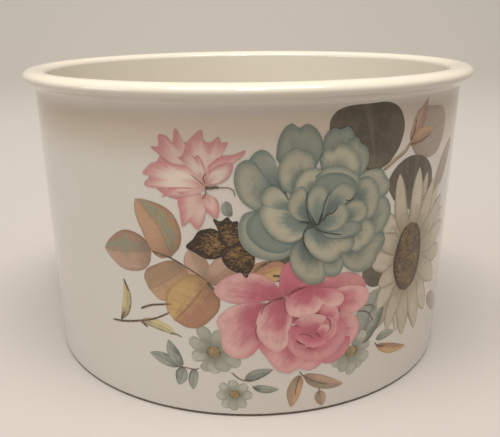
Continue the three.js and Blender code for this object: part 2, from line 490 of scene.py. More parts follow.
# %% [markdown]
# ## The print
# The flowers are a transfer: coloured enamels printed on a thin sheet, laid on the glaze and fired. A
# picture could be painted in one material, but then every petal would need its own mask. Cut paper is
# easier to work with: each petal and leaf is a piece of film, a few thousandths of a millimetre thick,
# laid over the one before. Its UV map runs from its base to its tip, so one recipe paints all the
# petals of a flower. We draw flat, in millimetres along the wall and up from the foot, and wrap each
# piece round the wall by a formula. PRINT_SHIFT and PRINT_LEAN then set the whole print a little to the
# right of the listed places, and lean it by a hundredth.

# %% The wall as a drawing sheet
FIRST_LIFT = 0.03
LAYER_STEP = 0.01
FILM_THICKNESS = 0.006
PRINT_SHIFT = 0.8
PRINT_LEAN = 0.01


def wrapped(along, up, layer):
    """Places on the wall, in metres, from millimetres along and up, and a layer number."""
    along = along + PRINT_SHIFT - PRINT_LEAN * (up - HEIGHT / 2)
    share = (up - FOOT_EDGE) / (wall_top_height - FOOT_EDGE)
    radius = foot_radius + share * WALL_DRAFT + FIRST_LIFT + layer * LAYER_STEP
    turn = along / wall_top_radius
    return np.stack([radius * np.sin(turn), -radius * np.cos(turn), up], axis=1) * MM


# %% A blank piece of film
def blank_film(name, across, along):
    """A unit grid with a UV map, kept aside as the blank that petals are copied from."""
    nothing_selected()
    bpy.ops.mesh.primitive_grid_add(x_subdivisions=across, y_subdivisions=along, size=1)
    blank = bpy.context.object
    blank.name = name
    return blank


PETAL_COLUMNS = 36
petal_blank = blank_film("petal blank", PETAL_COLUMNS, 12)
blade_blank = blank_film("blade blank", 8, 20)
stroke_blank = blank_film("stroke blank", 4, 20)
blanks = [petal_blank, blade_blank, stroke_blank]
chance = random.Random(7)


def film_copy(blank, tone, light, shade=0.4):
    """A copy of a blank with a mesh of its own, marked with its tone, its light and its shade."""
    piece = blank.copy()
    piece.data = blank.data.copy()
    bpy.context.collection.objects.link(piece)
    count = len(piece.data.vertices)
    for label, level in (("tone", tone), ("light", light), ("shade", shade)):
        mark = piece.data.attributes.new(label, "FLOAT", "POINT")
        mark.data.foreach_set("value", [level] * count)
    return piece


def grid_places(piece):
    """Each vertex's place on the blank: from -1 to 1 across, and from 0 to 1 along."""
    spots = np.zeros(len(piece.data.vertices) * 3)
    piece.data.vertices.foreach_get("co", spots)
    spots = spots.reshape(-1, 3)
    return spots[:, 0] * 2, spots[:, 1] + 0.5


def set_places(piece, along, up, layer):
    """Wrap the flat shape on the wall."""
    piece.data.vertices.foreach_set("co", wrapped(along, up, layer).ravel())
    piece.data.update()


# %% [markdown]
# ## Two kinds of petal
# A broad petal, as on a peony or a rose, opens from one place at its base to a free edge. The edge is
# a smooth line through a few places in millimetres on the wall, measured along from the front and up
# from the table. A blade is a daisy petal or a leaf: its width swells and closes along its length, by
# one power at the base and another at the tip, and a bow bends it sideways.

# %% A smooth line through a few places
def smooth_line(places, count):
    """Evenly spaced points on a smooth line through the places."""
    spots = np.array(places, float)
    held = np.vstack([2 * spots[0] - spots[1], spots, 2 * spots[-1] - spots[-2]])
    share = np.linspace(0, 1, 12, endpoint=False)[:, None]
    bits = []
    for before, start, stop, after in zip(held, held[1:], held[2:], held[3:]):
        third = 3 * (start - stop) + after - before
        second = 2 * before - 5 * start + 4 * stop - after
        bits.append(start + share / 2 * (stop - before + share * (second + share * third)))
    fine = np.vstack(bits + [spots[-1:]])
    walked = np.concatenate([[0], np.cumsum(np.hypot(*np.diff(fine, axis=0).T))])
    even = np.linspace(0, walked[-1], count)
    return np.stack([np.interp(even, walked, fine[:, k]) for k in (0, 1)], axis=1)


# %% Petal shapes
def lay_petal(base, edge, layer, tone=0.5, light=0.5, shade=0.4):
    piece = film_copy(petal_blank, tone, light, shade)
    across, along = grid_places(piece)
    base = np.array(base, float)
    free = smooth_line(edge, PETAL_COLUMNS + 1)
    reach = free - base
    turning = np.sum(reach[:-1, 0] * reach[1:, 1] - reach[:-1, 1] * reach[1:, 0])
    if turning > 0:
        free = free[::-1]
    column = np.rint((across + 1) / 2 * PETAL_COLUMNS).astype(int)
    spots = base + (free[column] - base) * along[:, None]
    set_places(piece, spots[:, 0], spots[:, 1], layer)
    return piece


def lay_blade(base, tip, width, layer, base_power=0.7, tip_power=0.7, bow=0.0, tone=0.5,
              light=0.5, wobble=0.04, shade=0.12):
    piece = film_copy(blade_blank, tone, light, shade)
    across, along = grid_places(piece)
    base = np.array(base, float)
    way = np.array(tip, float) - base
    length = np.hypot(*way)
    way /= length
    widest = base_power / (base_power + tip_power)
    swell = along ** base_power * (1 - along) ** tip_power
    swell /= widest ** base_power * (1 - widest) ** tip_power
    swell *= 1 + wobble * np.sin(9 * along + chance.uniform(0, 6.28) + across)
    sideways = across * swell * width / 2 + bow * 4 * along * (1 - along)
    set_places(piece, base[0] + along * length * way[0] + sideways * way[1],
               base[1] + along * length * way[1] - sideways * way[0], layer)
    return piece


def lay_stroke(places, width, layer, tone=0.5, taper=0.35):
    """A brush line through a few places, full in the middle and thinner towards its far end."""
    piece = film_copy(stroke_blank, tone, 0.5)
    across, along = grid_places(piece)
    line = smooth_line(places, 21)
    slope = np.gradient(line, axis=0)
    slope /= np.hypot(slope[:, 0], slope[:, 1])[:, None]
    row = np.rint(along * 20).astype(int)
    fullness = (1 - taper * along) * np.clip(np.minimum(along, 1 - along) * 12, 0, 1) ** 0.5
    offset = across * fullness * width / 2
    set_places(piece, line[row, 0] + offset * slope[row, 1], line[row, 1] - offset * slope[row, 0], layer)
    return piece


# %% Join the pieces of one motif and give the film its thickness
def finished_print(name, finishes, node):
    """Join film pieces, each with its own finish, into one closed piece that rides on the crock."""
    nothing_selected()
    for piece, finish in finishes:
        piece.data.materials.clear()
        piece.data.materials.append(finish)
        piece.select_set(True)
    whole = finishes[0][0]
    bpy.context.view_layer.objects.active = whole
    bpy.ops.object.join()
    whole.name = name
    whole.data.name = name
    bpy.ops.object.mode_set(mode="EDIT")
    bpy.ops.mesh.select_all(action="SELECT")
    bpy.ops.mesh.remove_doubles(threshold=0.0005 * MM)
    bpy.ops.mesh.dissolve_degenerate(threshold=0.0005 * MM)
    bpy.ops.object.mode_set(mode="OBJECT")
    outward = sum((face.normal.x * face.center.x + face.normal.y * face.center.y) * face.area
                  for face in whole.data.polygons)
    if outward < 0:
        bpy.ops.object.mode_set(mode="EDIT")
        bpy.ops.mesh.select_all(action="SELECT")
        bpy.ops.mesh.flip_normals()
        bpy.ops.object.mode_set(mode="OBJECT")
    solid = whole.modifiers.new("film", "SOLIDIFY")
    solid.thickness = FILM_THICKNESS * MM
    solid.offset = 1.0
    bpy.ops.object.modifier_apply(modifier=solid.name)
    bpy.ops.object.shade_smooth_by_angle(angle=math.radians(35))
    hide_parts(node)
    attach(whole, "root")
    print(name, "has", len(whole.data.polygons), "faces")
    return whole


# %% [markdown]
# ## Enamel recipes
# The petals of one flower share a recipe. It is darkest at the heart, washes out to a pale patch
# further along and gathers colour again at the lip, with fine strokes that run from base to tip. The
# piece's own tone, light and shade marks shift it, so that no two petals match.

# %% Petal enamel
def petal_enamel(name, heart, body, pale, lip, lines=22.0, lip_width=0.14, lip_strength=0.7,
                 fan=True, pale_from=0.4, pale_to=0.75, tip_share=0.0, heart_share=0.85):
    recipe = Recipe(name)
    across, along, _ = recipe.petal_place()
    wash = recipe.noise(420.0, 4.0, 0.4)
    sway = recipe.strokes(lines).swing(0.36) + wash.swing(0.3)
    swayed = along + sway
    patch = soft_step(swayed, pale_from, pale_to) * soft_step(across + sway, 1.1, 0.5)
    colour = mixed(patch.worked("MULTIPLY", recipe.mark("light"), True), body, pale)
    past_heart = along + sway * 0.35 - recipe.mark("shade")
    colour = mixed(soft_step(past_heart, 0.34, -0.36) * heart_share, colour, heart)
    rim = across.worked("MAXIMUM", along) if fan else across
    lipped = soft_step(rim + sway * 0.2, 1.0 - lip_width, 1.02) * lip_strength
    tipped = soft_step(swayed, 0.55, 1.0) * tip_share
    colour = mixed(lipped.worked("MAXIMUM", tipped), colour, lip)
    colour = deepened(colour, recipe.mark("tone") * 0.18 + 0.9 + wash.swing(0.3))
    return recipe.finished(colour, recipe.peel())


# %% [markdown]
# A leaf has a rib down its middle and veins that leave it at a slant. Both come from the UV map: the
# rib is where "across" is nearly nothing, and a vein is where "along" less a share of "across" comes
# close to a whole step. The two halves of a leaf are washed in different colours, a soft glow runs
# along one of them, and the colour deepens where the stem joins.

# %% Leaf enamel
def leaf_enamel(name, first_half, second_half, glow, vein, veins=6.0, vein_strength=0.55,
                edge_strength=0.4, glow_at=0.68):
    recipe = Recipe(name)
    across, along, side = recipe.petal_place()
    strokes = recipe.strokes(20.0)
    drift = recipe.noise(380.0, 5.0, 0.7).swing(0.9)
    colour = mixed(soft_step(side + drift * 0.5, 0.3, 0.7), first_half, second_half)
    from_glow = (side + drift - glow_at).worked("ABSOLUTE")
    glowing = soft_step(from_glow, 0.28, 0.0).worked("MULTIPLY", recipe.mark("light") * 0.8, True)
    colour = mixed(glowing, colour, glow)
    slanted = (drift * 0.04 + (along - across * 0.2)) * veins
    from_vein = (slanted.worked("FRACT") - 0.5).worked("ABSOLUTE")
    line = soft_step(from_vein, 0.11, 0.0) * soft_step(across, 1.0, 0.35)
    drawn = soft_step(across, 0.085, 0.01).worked("MAXIMUM", line * 0.6)
    colour = mixed(drawn.worked("MULTIPLY", soft_step(strokes, 0.2, 0.6) * vein_strength, True),
                   colour, vein)
    colour = mixed(soft_step(along + drift * 0.4, 0.4, 0.0) * 0.5, colour, vein)
    colour = mixed(soft_step(across + drift * 0.3, 0.8, 1.05) * edge_strength, colour, vein)
    colour = deepened(colour, recipe.mark("tone") * 0.26 + 0.84 + strokes.swing(0.35))
    return recipe.finished(colour, recipe.peel())


# %% Stippled enamel for seed cones and daisy eyes, and a line enamel
def stipple_enamel(name, ground, warm, dots, size, amount, fan=False):
    recipe = Recipe(name)
    across, along, _ = recipe.petal_place()
    colour = mixed(soft_step(recipe.noise(size * 0.3, 2.0, 0.5), 0.4, 0.6), ground, warm)
    speckle = recipe.noise(size, 3.0, 1.2, recipe.stretched(recipe.place, (1.0, 1.0, 2.2)))
    to_edge = across.worked("MAXIMUM", along) if fan else across
    speckle = speckle + soft_step(to_edge, 0.55, 1.0) * 0.16
    colour = mixed(soft_step(speckle, 1.0 - amount, 1.06 - amount), colour, dots)
    return recipe.finished(colour, recipe.peel())


def line_enamel(name, dark, soft):
    """The line enamel of stems, twigs and the fine lines in a flower's heart."""
    recipe = Recipe(name)
    wear = soft_step(recipe.noise(900.0), 0.35, 0.75)
    return recipe.finished(mixed(wear, dark, soft), recipe.peel())


# %% Mix the enamels
peony_blue = petal_enamel("peony blue", srgb(78, 92, 84), srgb(120, 133, 123), srgb(176, 170, 148),
                          srgb(92, 110, 104), lip_width=0.17, heart_share=0.72)
rose_pink = petal_enamel("rose pink", srgb(158, 80, 92), srgb(190, 104, 118), srgb(220, 176, 168),
                         srgb(190, 108, 122), lip_strength=0.3, heart_share=0.62, pale_from=0.38,
                         pale_to=0.95, lip_width=0.1)
lily_pink = petal_enamel("lily pink", srgb(172, 118, 112), srgb(206, 162, 152), srgb(220, 204, 188),
                         srgb(188, 118, 122), lines=26.0, pale_from=0.1, pale_to=0.4, tip_share=0.85,
                         lip_strength=0.35, heart_share=0.6)
daisy_white = petal_enamel("daisy white", srgb(112, 100, 78), srgb(166, 155, 132), srgb(192, 182, 162),
                           srgb(132, 124, 104), lines=9.0, lip_width=0.3, fan=False, pale_from=0.25,
                           pale_to=0.6)
daisy_grey = petal_enamel("daisy grey", srgb(104, 106, 92), srgb(156, 156, 142), srgb(184, 181, 166),
                          srgb(140, 142, 130), lines=9.0, lip_width=0.3, fan=False)
autumn_leaf = leaf_enamel("autumn leaf", srgb(194, 156, 124), srgb(172, 138, 108), srgb(146, 156, 130),
                          srgb(118, 90, 68), vein_strength=0.32)
golden_leaf = leaf_enamel("golden leaf", srgb(172, 128, 100), srgb(194, 160, 108), srgb(206, 174, 120),
                          srgb(112, 80, 58), vein_strength=0.5)
rosy_leaf = leaf_enamel("rosy leaf", srgb(188, 156, 134), srgb(168, 134, 112), srgb(142, 150, 128),
                        srgb(116, 90, 72), vein_strength=0.32)
dark_leaf = leaf_enamel("dark leaf", srgb(102, 92, 77), srgb(96, 87, 72), srgb(56, 48, 36),
                        srgb(130, 120, 102), veins=7.0, edge_strength=0.0, vein_strength=0.3, glow_at=0.5)
pale_leaf = leaf_enamel("pale leaf", srgb(170, 154, 136), srgb(158, 142, 124), srgb(182, 168, 150),
                        srgb(138, 124, 106), vein_strength=0.25)
green_leaf = leaf_enamel("green leaf", srgb(156, 160, 146), srgb(116, 122, 110), srgb(178, 178, 164),
                         srgb(66, 68, 58), veins=4.0, vein_strength=0.45)
bud_yellow = leaf_enamel("bud yellow", srgb(206, 188, 138), srgb(150, 138, 100), srgb(220, 208, 168),
                         srgb(84, 76, 58), veins=3.0)
cone_brown = stipple_enamel("cone brown", srgb(138, 108, 68), srgb(108, 82, 52), srgb(54, 40, 28),
                            1100.0, 0.51, fan=True)
daisy_eye = stipple_enamel("daisy eye", srgb(128, 102, 62), srgb(94, 78, 52), srgb(62, 50, 36),
                           1500.0, 0.48)
small_eye = stipple_enamel("small eye", srgb(172, 146, 100), srgb(146, 130, 98), srgb(98, 84, 62),
                           2400.0, 0.46)
line_brown = line_enamel("line brown", srgb(84, 68, 54), srgb(134, 114, 94))
line_pale = line_enamel("line pale", srgb(186, 164, 142), srgb(160, 136, 112))
line_blue = line_enamel("line blue", srgb(52, 54, 49), srgb(92, 98, 90))
line_rose = line_enamel("line rose", srgb(112, 58, 66), srgb(158, 94, 100))

# %% [markdown]
# ## The peony
# The large blue flower is built from the back. Each row below is one petal: the place it opens from,
# how much light it catches, how far the shade reaches out from its base, and then its free edge.

# %% Lay the peony
PEONY_FIRST_LAYER = 12
PEONY_BACK = [
    ((16, 52), 0.2, 0.7, [(8, 50), (9, 57), (14, 61), (21, 61.4), (27, 58), (29, 51.4), (25.4, 45.6),
     (18, 44), (11, 45.6), (8.2, 49.2)]),
    ((13, 60), 0.35, 0.5, [(6, 66.5), (6.5, 70.5), (8, 73.3), (9.6, 74.1), (11.1, 73.1), (12.8, 73.9),
     (14.9, 72.8), (16.4, 70.4), (16.6, 67.5)]),
    ((9, 57), 0.35, 0.5, [(-0.4, 65.8), (1.2, 67.8), (3, 68.6), (4.8, 67.6), (6, 65.5), (6.9, 61.5)]),
    ((8, 56), 0.75, 0.35, [(1.6, 65.8), (-0.6, 66.4), (-2.6, 65), (-3.3, 62), (-2.6, 58.8), (-1, 56.4),
     (1.4, 54.8)]),
    ((10, 52), 0.6, 0.6, [(1.4, 54.8), (-1.2, 54), (-2.4, 51.5), (-2.5, 48.8), (-1.4, 46), (0.8, 44),
     (3.6, 42.9), (6.8, 42.7), (9.4, 43.8), (10.4, 45.8)]),
    ((10, 52), 0.1, 0.45, [(1.6, 54.6), (-0.4, 52.4), (-0.6, 49.6), (1, 47), (3.8, 45.1), (7.2, 44.4),
     (10.2, 45.6)]),
    ((14, 49), 0.95, 0.6, [(9.4, 45.4), (9.3, 42), (10.6, 39), (13, 36.7), (15.6, 35.8), (17.7, 36.4),
     (18.4, 38.2), (18.8, 41)]),
    ((19, 46), 0.5, 0.6, [(17.4, 40.4), (18.2, 38.2), (19.8, 37.4), (21.6, 37.6), (22.8, 39.2),
     (23, 41.4)]),
    ((22, 49), 0.8, 0.62, [(21.8, 42.4), (23.2, 39.6), (25.8, 37.7), (28.4, 37.2), (30.8, 37.8),
     (32.5, 39.6), (33, 41.6), (34.4, 42.6), (35, 44.6), (34, 46.6)]),
    ((24, 51), 0.6, 0.6, [(30.6, 46.2), (33.4, 46.6), (35.2, 48.4), (36.2, 51.2), (35.4, 54),
     (33.2, 55.8), (31.4, 55.6)]),
    ((20, 62), 0.3, 0.6, [(16.4, 68.8), (17.2, 71.4), (19, 72.8), (20.6, 72.4), (22.4, 72.9),
     (24, 71.4), (24.4, 69)]),
    ((21, 61), 0.55, 0.6, [(22.6, 70.2), (24.8, 70.4), (26, 68.9), (27.6, 67.8), (28.4, 65.4),
     (27.8, 63), (26.2, 61.4)]),
    ((24, 57), 0.75, 0.55, [(25.6, 61.4), (28, 62.4), (30.4, 62.6), (32.6, 62.1), (33.8, 60.4),
     (35.2, 58.6), (34.8, 56.4), (33, 55.2)]),
]
PEONY_FRONT = [
    ((18, 59), 0.95, 0.52, [(15.8, 66), (17.2, 68.1), (19, 67.9), (20.6, 69.1), (23, 68.6), (25, 66.9),
     (26.3, 64.2), (26.2, 61.6)]),
    ((13, 57), 0.9, 0.45, [(7.4, 59.4), (6.4, 62.6), (6.8, 65.6), (8.2, 67.8), (10.4, 68.8),
     (12.2, 68.2), (14, 67.4), (15.2, 65)]),
    ((22, 55), 0.85, 0.5, [(25.8, 60.8), (28.4, 61), (30.8, 59.4), (32.2, 56.4), (32, 53.2),
     (30.4, 50.8), (27.6, 50.2)]),
    ((11, 53), 0.85, 0.3, [(3.2, 55.2), (2.6, 57.6), (3.5, 59.6), (5.2, 60.5), (7, 59.6), (8.8, 57)]),
    ((13.5, 52), 1, 0.22, [(8.4, 55.2), (5.4, 55.4), (3, 56), (2.3, 53.6), (3.2, 51.2), (5, 48.8),
     (7.2, 47.3), (9.8, 46.9), (12, 47.9), (12.8, 50)]),
    ((19, 50), 0.9, 0.55, [(24.2, 45), (25.6, 42.9), (27.4, 42.9), (28.6, 43.7), (30.6, 44.6),
     (31.7, 47), (30.8, 49.4), (29, 50.8)]),
    ((15.5, 50.6), 1, 0.3, [(12.2, 49.6), (12.7, 46.4), (14.4, 43.8), (16.4, 42.1), (19, 41.1),
     (21, 41.5), (22.2, 43), (24.2, 43.2), (25.6, 44.8), (25.2, 47.4)]),
    ((15, 56), 0.85, 0.5, [(9.8, 58.6), (10.6, 61.6), (12.4, 63.8), (14.8, 64.2), (17, 63.2),
     (18, 61)]),
    ((14.4, 52), 0.9, 0.35, [(11.4, 51.8), (8.9, 54.4), (8.8, 57), (10.4, 59.4), (12, 60.2),
     (13.4, 58.4)]),
    ((19, 56), 0.8, 0.68, [(14.8, 62.2), (17.2, 63.9), (20.2, 64.3), (23.2, 63.3), (25.8, 61.3),
     (26.4, 58.6)]),
]
PEONY_HEART = [
    ((18.6, 55), 0.15, 0.3, [(14, 58.6), (15.2, 61.6), (18.4, 62.8), (22, 62.3), (24.9, 60.4),
     (25.9, 57.4)]),
    ((19, 51), 0.15, 0.5, [(25.4, 57), (27, 54.4), (27.6, 51), (26.8, 47.8), (24.2, 46.6),
     (20.6, 46.9)]),
    ((19.4, 51.4), 0.9, 0.5, [(23.4, 55.6), (25.6, 55.8), (27.8, 55), (29, 53), (28.3, 51),
     (26, 49.8)]),
    ((15.6, 50.6), 0.35, 0.2, [(17.4, 47.8), (20.4, 46.9), (24, 46.9), (26.9, 47.8), (27.4, 49.6),
     (25, 50.8)]),
    ((15.6, 50.8), 0.55, 0.2, [(13.2, 54.8), (13.3, 58), (14.8, 60.2), (16.8, 60.2), (17.9, 58.2),
     (17.2, 55.2)]),
    ((16.8, 51.6), 0.2, 0.3, [(16.8, 56), (18.2, 58.2), (20, 58.8), (21.4, 57.4), (21, 54.8)]),
    ((17.4, 53), 0.6, 0.45, [(19, 58.6), (20.4, 60), (22.6, 60.1), (24.6, 58.8), (24.9, 57),
     (23.6, 55.9), (21.4, 56)]),
    ((15.6, 50.7), 0.65, 0.3, [(18.6, 52.8), (20.2, 53.8), (21.6, 55.4), (23, 54.6), (23.6, 52.4),
     (22.6, 50.2), (20.2, 49), (17.4, 49.2)]),
]
PEONY_LINES = [  # width, places
    (0.34, [(13.1, 59), (12.9, 56), (13.4, 53.4), (14.2, 51.6), (15.2, 50.8), (16.6, 51)]),
    (0.28, [(16.4, 51), (16.9, 54.2), (17.6, 56.6), (18.6, 58.4)]),
    (0.34, [(11.2, 51.9), (13, 51.6), (14.6, 50.6), (16.4, 49.3), (19, 48.4), (22, 47.7)]),
    (0.28, [(13, 50.2), (12.4, 48.4), (12.8, 46.2), (13.9, 44.4)]),
    (0.5, [(16.9, 51.4), (18, 53), (19.4, 53.4), (20.8, 54.8)]),
    (0.28, [(22.4, 56.1), (23.8, 55.9), (24.8, 56.8)]),
]


def laid_petals(rows, first_layer, finish):
    """Lay the rows of a flower one above the other, each petal with a tone of its own."""
    return [(lay_petal(base, edge, first_layer + number, chance.uniform(0.1, 0.9), light, shade), finish)
            for number, (base, light, shade, edge) in enumerate(rows)]


def laid_lines(rows, layer, finish):
    return [(lay_stroke(places, width, layer + number % 2), finish)
            for number, (width, places) in enumerate(rows)]


peony_rows = PEONY_BACK + PEONY_FRONT + PEONY_HEART
peony = laid_petals(peony_rows, PEONY_FIRST_LAYER, peony_blue)
peony += laid_lines(PEONY_LINES, PEONY_FIRST_LAYER + len(peony_rows), line_blue)
finished_print("peony_print", peony, "bouquet_transfer")

# %% [markdown]
# ## The rose
# The rose lies lower and partly under the peony. Its big petals open to the left, with pale patches
# where they turn to the light, and its heart winds in tight rings of a deeper pink.

# %% Lay the rose
ROSE_FIRST_LAYER = 4
ROSE_PETALS = [
    ((14, 26), 0.3, 0.7, [(5.4, 26), (7, 31), (11, 33.6), (16, 34), (21, 31.6), (23.4, 27), (21, 21),
     (15, 18), (9, 20), (5.6, 24.6)]),
    ((8.4, 33.2), 0.1, 0.35, [(6.8, 35.6), (7, 38.4), (7.7, 40.8), (9.4, 42.2), (11, 40.6), (14, 38),
     (17, 36.2)]),
    ((9, 33.4), 0.5, 0.45, [(12, 37), (16, 37.4), (20.4, 37.5), (24, 37.8), (27.3, 36.6), (29.2, 34.8),
     (30, 32.6), (28, 31)]),
    ((8.2, 33.2), 0.9, 0.25, [(-1, 31.6), (-4.8, 32), (-7.6, 33.2), (-8.6, 35), (-7.2, 37.2),
     (-4.6, 39), (-1.6, 39.7), (1.8, 39.4), (4.6, 38.2), (6.6, 36)]),
    ((6, 31.6), 0.95, 0.45, [(2, 32), (-2.6, 31.6), (-6, 29.9), (-8.2, 27), (-7.4, 24.2), (-7.2, 21.4),
     (-6.6, 19), (-4.6, 17.2), (-2, 16.9), (0.4, 18), (2.2, 20.4)]),
    ((18, 31), 0.85, 0.3, [(19.6, 33.4), (23, 34.2), (27, 33.8), (30.4, 32.2), (31, 29.8), (29.6, 27.6),
     (26.8, 26.5), (23.6, 27.4)]),
    ((18, 24), 0.75, 0.5, [(22.6, 28.2), (25.4, 27), (27.6, 25), (28.5, 22.2), (27.6, 19.4),
     (25.4, 17.4), (22, 17)]),
    ((17.4, 23), 0.3, 0.6, [(26, 20), (25.6, 17), (24, 15), (21.6, 13.8), (19, 13.8), (16.6, 15.4)]),
    ((13, 23), 0.7, 0.5, [(1.4, 20.8), (3.8, 17.2), (6.4, 13.6), (9.4, 12.3), (12, 13.4), (14.8, 12.5),
     (17.4, 13.5), (19.4, 16)]),
    ((16, 24), 0.5, 0.5, [(9.4, 25.6), (8.6, 22), (9.8, 18.6), (12.4, 16.2), (15.8, 15), (19.4, 15.3),
     (22.4, 17), (24.2, 19.8), (24.4, 23), (23, 26)]),
    ((8.1, 33), 1, 0.3, [(4.8, 32.6), (2.4, 30), (1.3, 26.6), (1.6, 23.4), (3.4, 20.6), (5.2, 19),
     (6.8, 18.5), (8.8, 19.9), (9.3, 22), (9, 23.7), (9.9, 25.6), (10.1, 28.4), (9, 31)]),
    ((18, 25), 0.6, 0.5, [(16.6, 30.4), (20, 30), (22, 28.6), (22.4, 26), (21.6, 24)]),
    ((13.4, 35.4), 1, 0.35, [(8.4, 33.4), (8.4, 30.4), (9.8, 28.2), (12.4, 27.5), (15, 27.8),
     (17, 28.9), (17.8, 30.4), (20, 29.4), (22.4, 29.2), (23.6, 30.8), (22.8, 32.6), (20.4, 34.4)]),
    ((15.4, 22), 0.9, 0.35, [(10.4, 26.4), (12.8, 28), (16, 28), (18.6, 27), (19.8, 25), (19.6, 22.6)]),
    ((15.6, 24), 0.15, 0.35, [(10.4, 25), (10.2, 22), (11.8, 19.4), (14.4, 17.9), (17.4, 17.7),
     (20.2, 19), (21.8, 21.4), (22, 24)]),
    ((16.4, 21.4), 0.5, 0.3, [(19, 27), (21, 26.2), (22, 23.8), (21.4, 21.2), (19.8, 19.8)]),
    ((15.6, 21.6), 0.4, 0.3, [(11.4, 23.4), (11.8, 21), (13.6, 19.6), (16.4, 19), (19, 19.8),
     (19.6, 21.6)]),
    ((16.8, 21.6), 0.8, 0.25, [(16.4, 23.6), (17.8, 24.8), (19.6, 24.4), (20.2, 22.6), (19, 21)]),
]
ROSE_LINES = [
    (0.34, [(8.3, 33.1), (5.4, 32.4), (3.4, 31), (2.4, 29)]),
    (0.24, [(8.3, 33), (8.3, 31), (8.8, 28.6)]),
    (0.26, [(9, 33.3), (10.8, 34.8), (13.6, 35.5)]),
    (0.5, [(11.2, 21.3), (12.4, 20.4), (13.5, 19.9)]),
    (0.26, [(11.8, 22.9), (13.4, 22.9), (15, 22.1), (15.5, 21.4)]),
    (0.3, [(16, 22.8), (16.8, 22.4), (17.6, 21.2)]),
    (0.34, [(19, 26.6), (19.9, 25.4), (20, 23.6), (19.2, 21.8)]),
    (0.26, [(13.8, 19), (15.6, 18.4), (17, 18.5)]),
    (0.24, [(22.1, 28.7), (22.5, 27.4)]),
    (0.2, [(1.5, 26.4), (1.3, 24), (1.9, 21.6)]),
]
rose = laid_petals(ROSE_PETALS, ROSE_FIRST_LAYER, rose_pink)
rose += laid_lines(ROSE_LINES, ROSE_FIRST_LAYER + len(ROSE_PETALS), line_rose)
finished_print("rose_print", rose, "bouquet_transfer")

# %% [markdown]
# ## The lily
# The lily's petals are pointed and a little torn at their tips, and spring from a small brown calyx
# at the end of a thin stem.

# %% Lay the lily
LILY_PETALS = [
    ((-8.6, 60.4), 1, 0.1, [(-14, 56.6), (-19, 57.6), (-22.4, 60.4), (-21.4, 64.6), (-18.6, 68.6),
     (-14.6, 70), (-10.4, 70.4), (-6.6, 68.6), (-5, 65.6), (-6.4, 62)]),
    ((-9.5, 60.4), 0.5, 0.2, [(-15, 58.2), (-18, 58.6), (-20.4, 57.2), (-18.6, 59.4), (-20, 60.4)]),
    ((-9.6, 61), 0.6, 0.25, [(-18.6, 65), (-20.4, 67.2), (-22.4, 68.8), (-20.4, 69), (-20.2, 71.6),
     (-18, 71.2), (-17, 69.8), (-16.2, 73.2), (-15, 71.2), (-14, 67)]),
    ((-9.6, 61.2), 0.6, 0.3, [(-14.6, 67), (-13.6, 70), (-10.3, 73), (-9.8, 70.8), (-8.2, 70.2),
     (-6.4, 71.6), (-6, 70.2), (-4.4, 70.2), (-6.4, 67), (-8, 64.8)]),
    ((-9.4, 60.6), 1, 0.1, [(-13.6, 65), (-18.6, 65.4), (-22, 65.2), (-23.8, 63.8), (-25, 62.4),
     (-23, 61.9), (-24.8, 60), (-22.6, 59.3), (-18, 59.7), (-13.4, 59.6)]),
    ((-9.6, 61), 0.7, 0.2, [(-16.6, 67.4), (-15.4, 66.8), (-13.4, 68.6), (-12, 67), (-11, 67.4),
     (-9.8, 65)]),
    ((-9.4, 61), 0.2, 0.2, [(-9, 65), (-6.4, 67.1), (-3.2, 67.6), (-0.6, 68.5), (-1.8, 66.8),
     (-4, 65.6)]),
    ((-9.4, 61), 0.9, 0.2, [(-8.8, 64), (-6.4, 65.4), (-3.6, 65.8), (-3.8, 63.4), (-5.4, 61.6),
     (-7.4, 60.8)]),
    ((-9.6, 58.6), 0.45, 0.2, [(-13.6, 58), (-16.3, 57), (-16, 54), (-15.6, 50.6), (-13.8, 51.8),
     (-12, 50), (-10.4, 52.2), (-9.8, 55)]),
    ((-9.6, 58.8), 0.35, 0.3, [(-10.2, 55.6), (-9.6, 54.4), (-7.4, 52.9), (-6.7, 55.4), (-7.2, 57.4)]),
]
LILY_LINES = [
    (0.8, [(-9.9, 60), (-8.4, 60), (-7.6, 60.2), (-6.6, 60.1)]),
    (0.26, [(-6.8, 60.1), (-4.6, 60.1), (-3.4, 59.4), (-3.1, 58)]),
    (0.26, [(-9.7, 60.8), (-10.1, 62.4), (-9.4, 63.4)]),
    (0.26, [(-9.7, 59.6), (-9.8, 58.4), (-10.6, 57.4)]),
    (0.16, [(-10, 60.6), (-11.6, 62), (-13, 63)]),
]
lily = laid_petals(LILY_PETALS, 2, lily_pink)
lily += laid_lines(LILY_LINES, 2 + len(LILY_PETALS), line_brown)
finished_print("lily_print", lily, "bouquet_transfer")

# %% [markdown]
# ## The white daisy
# The daisy is almost the colour of the glaze, so it is drawn by the grey shade along its petals. They
# are longer above and below than at the sides, because the flower faces away to the right.

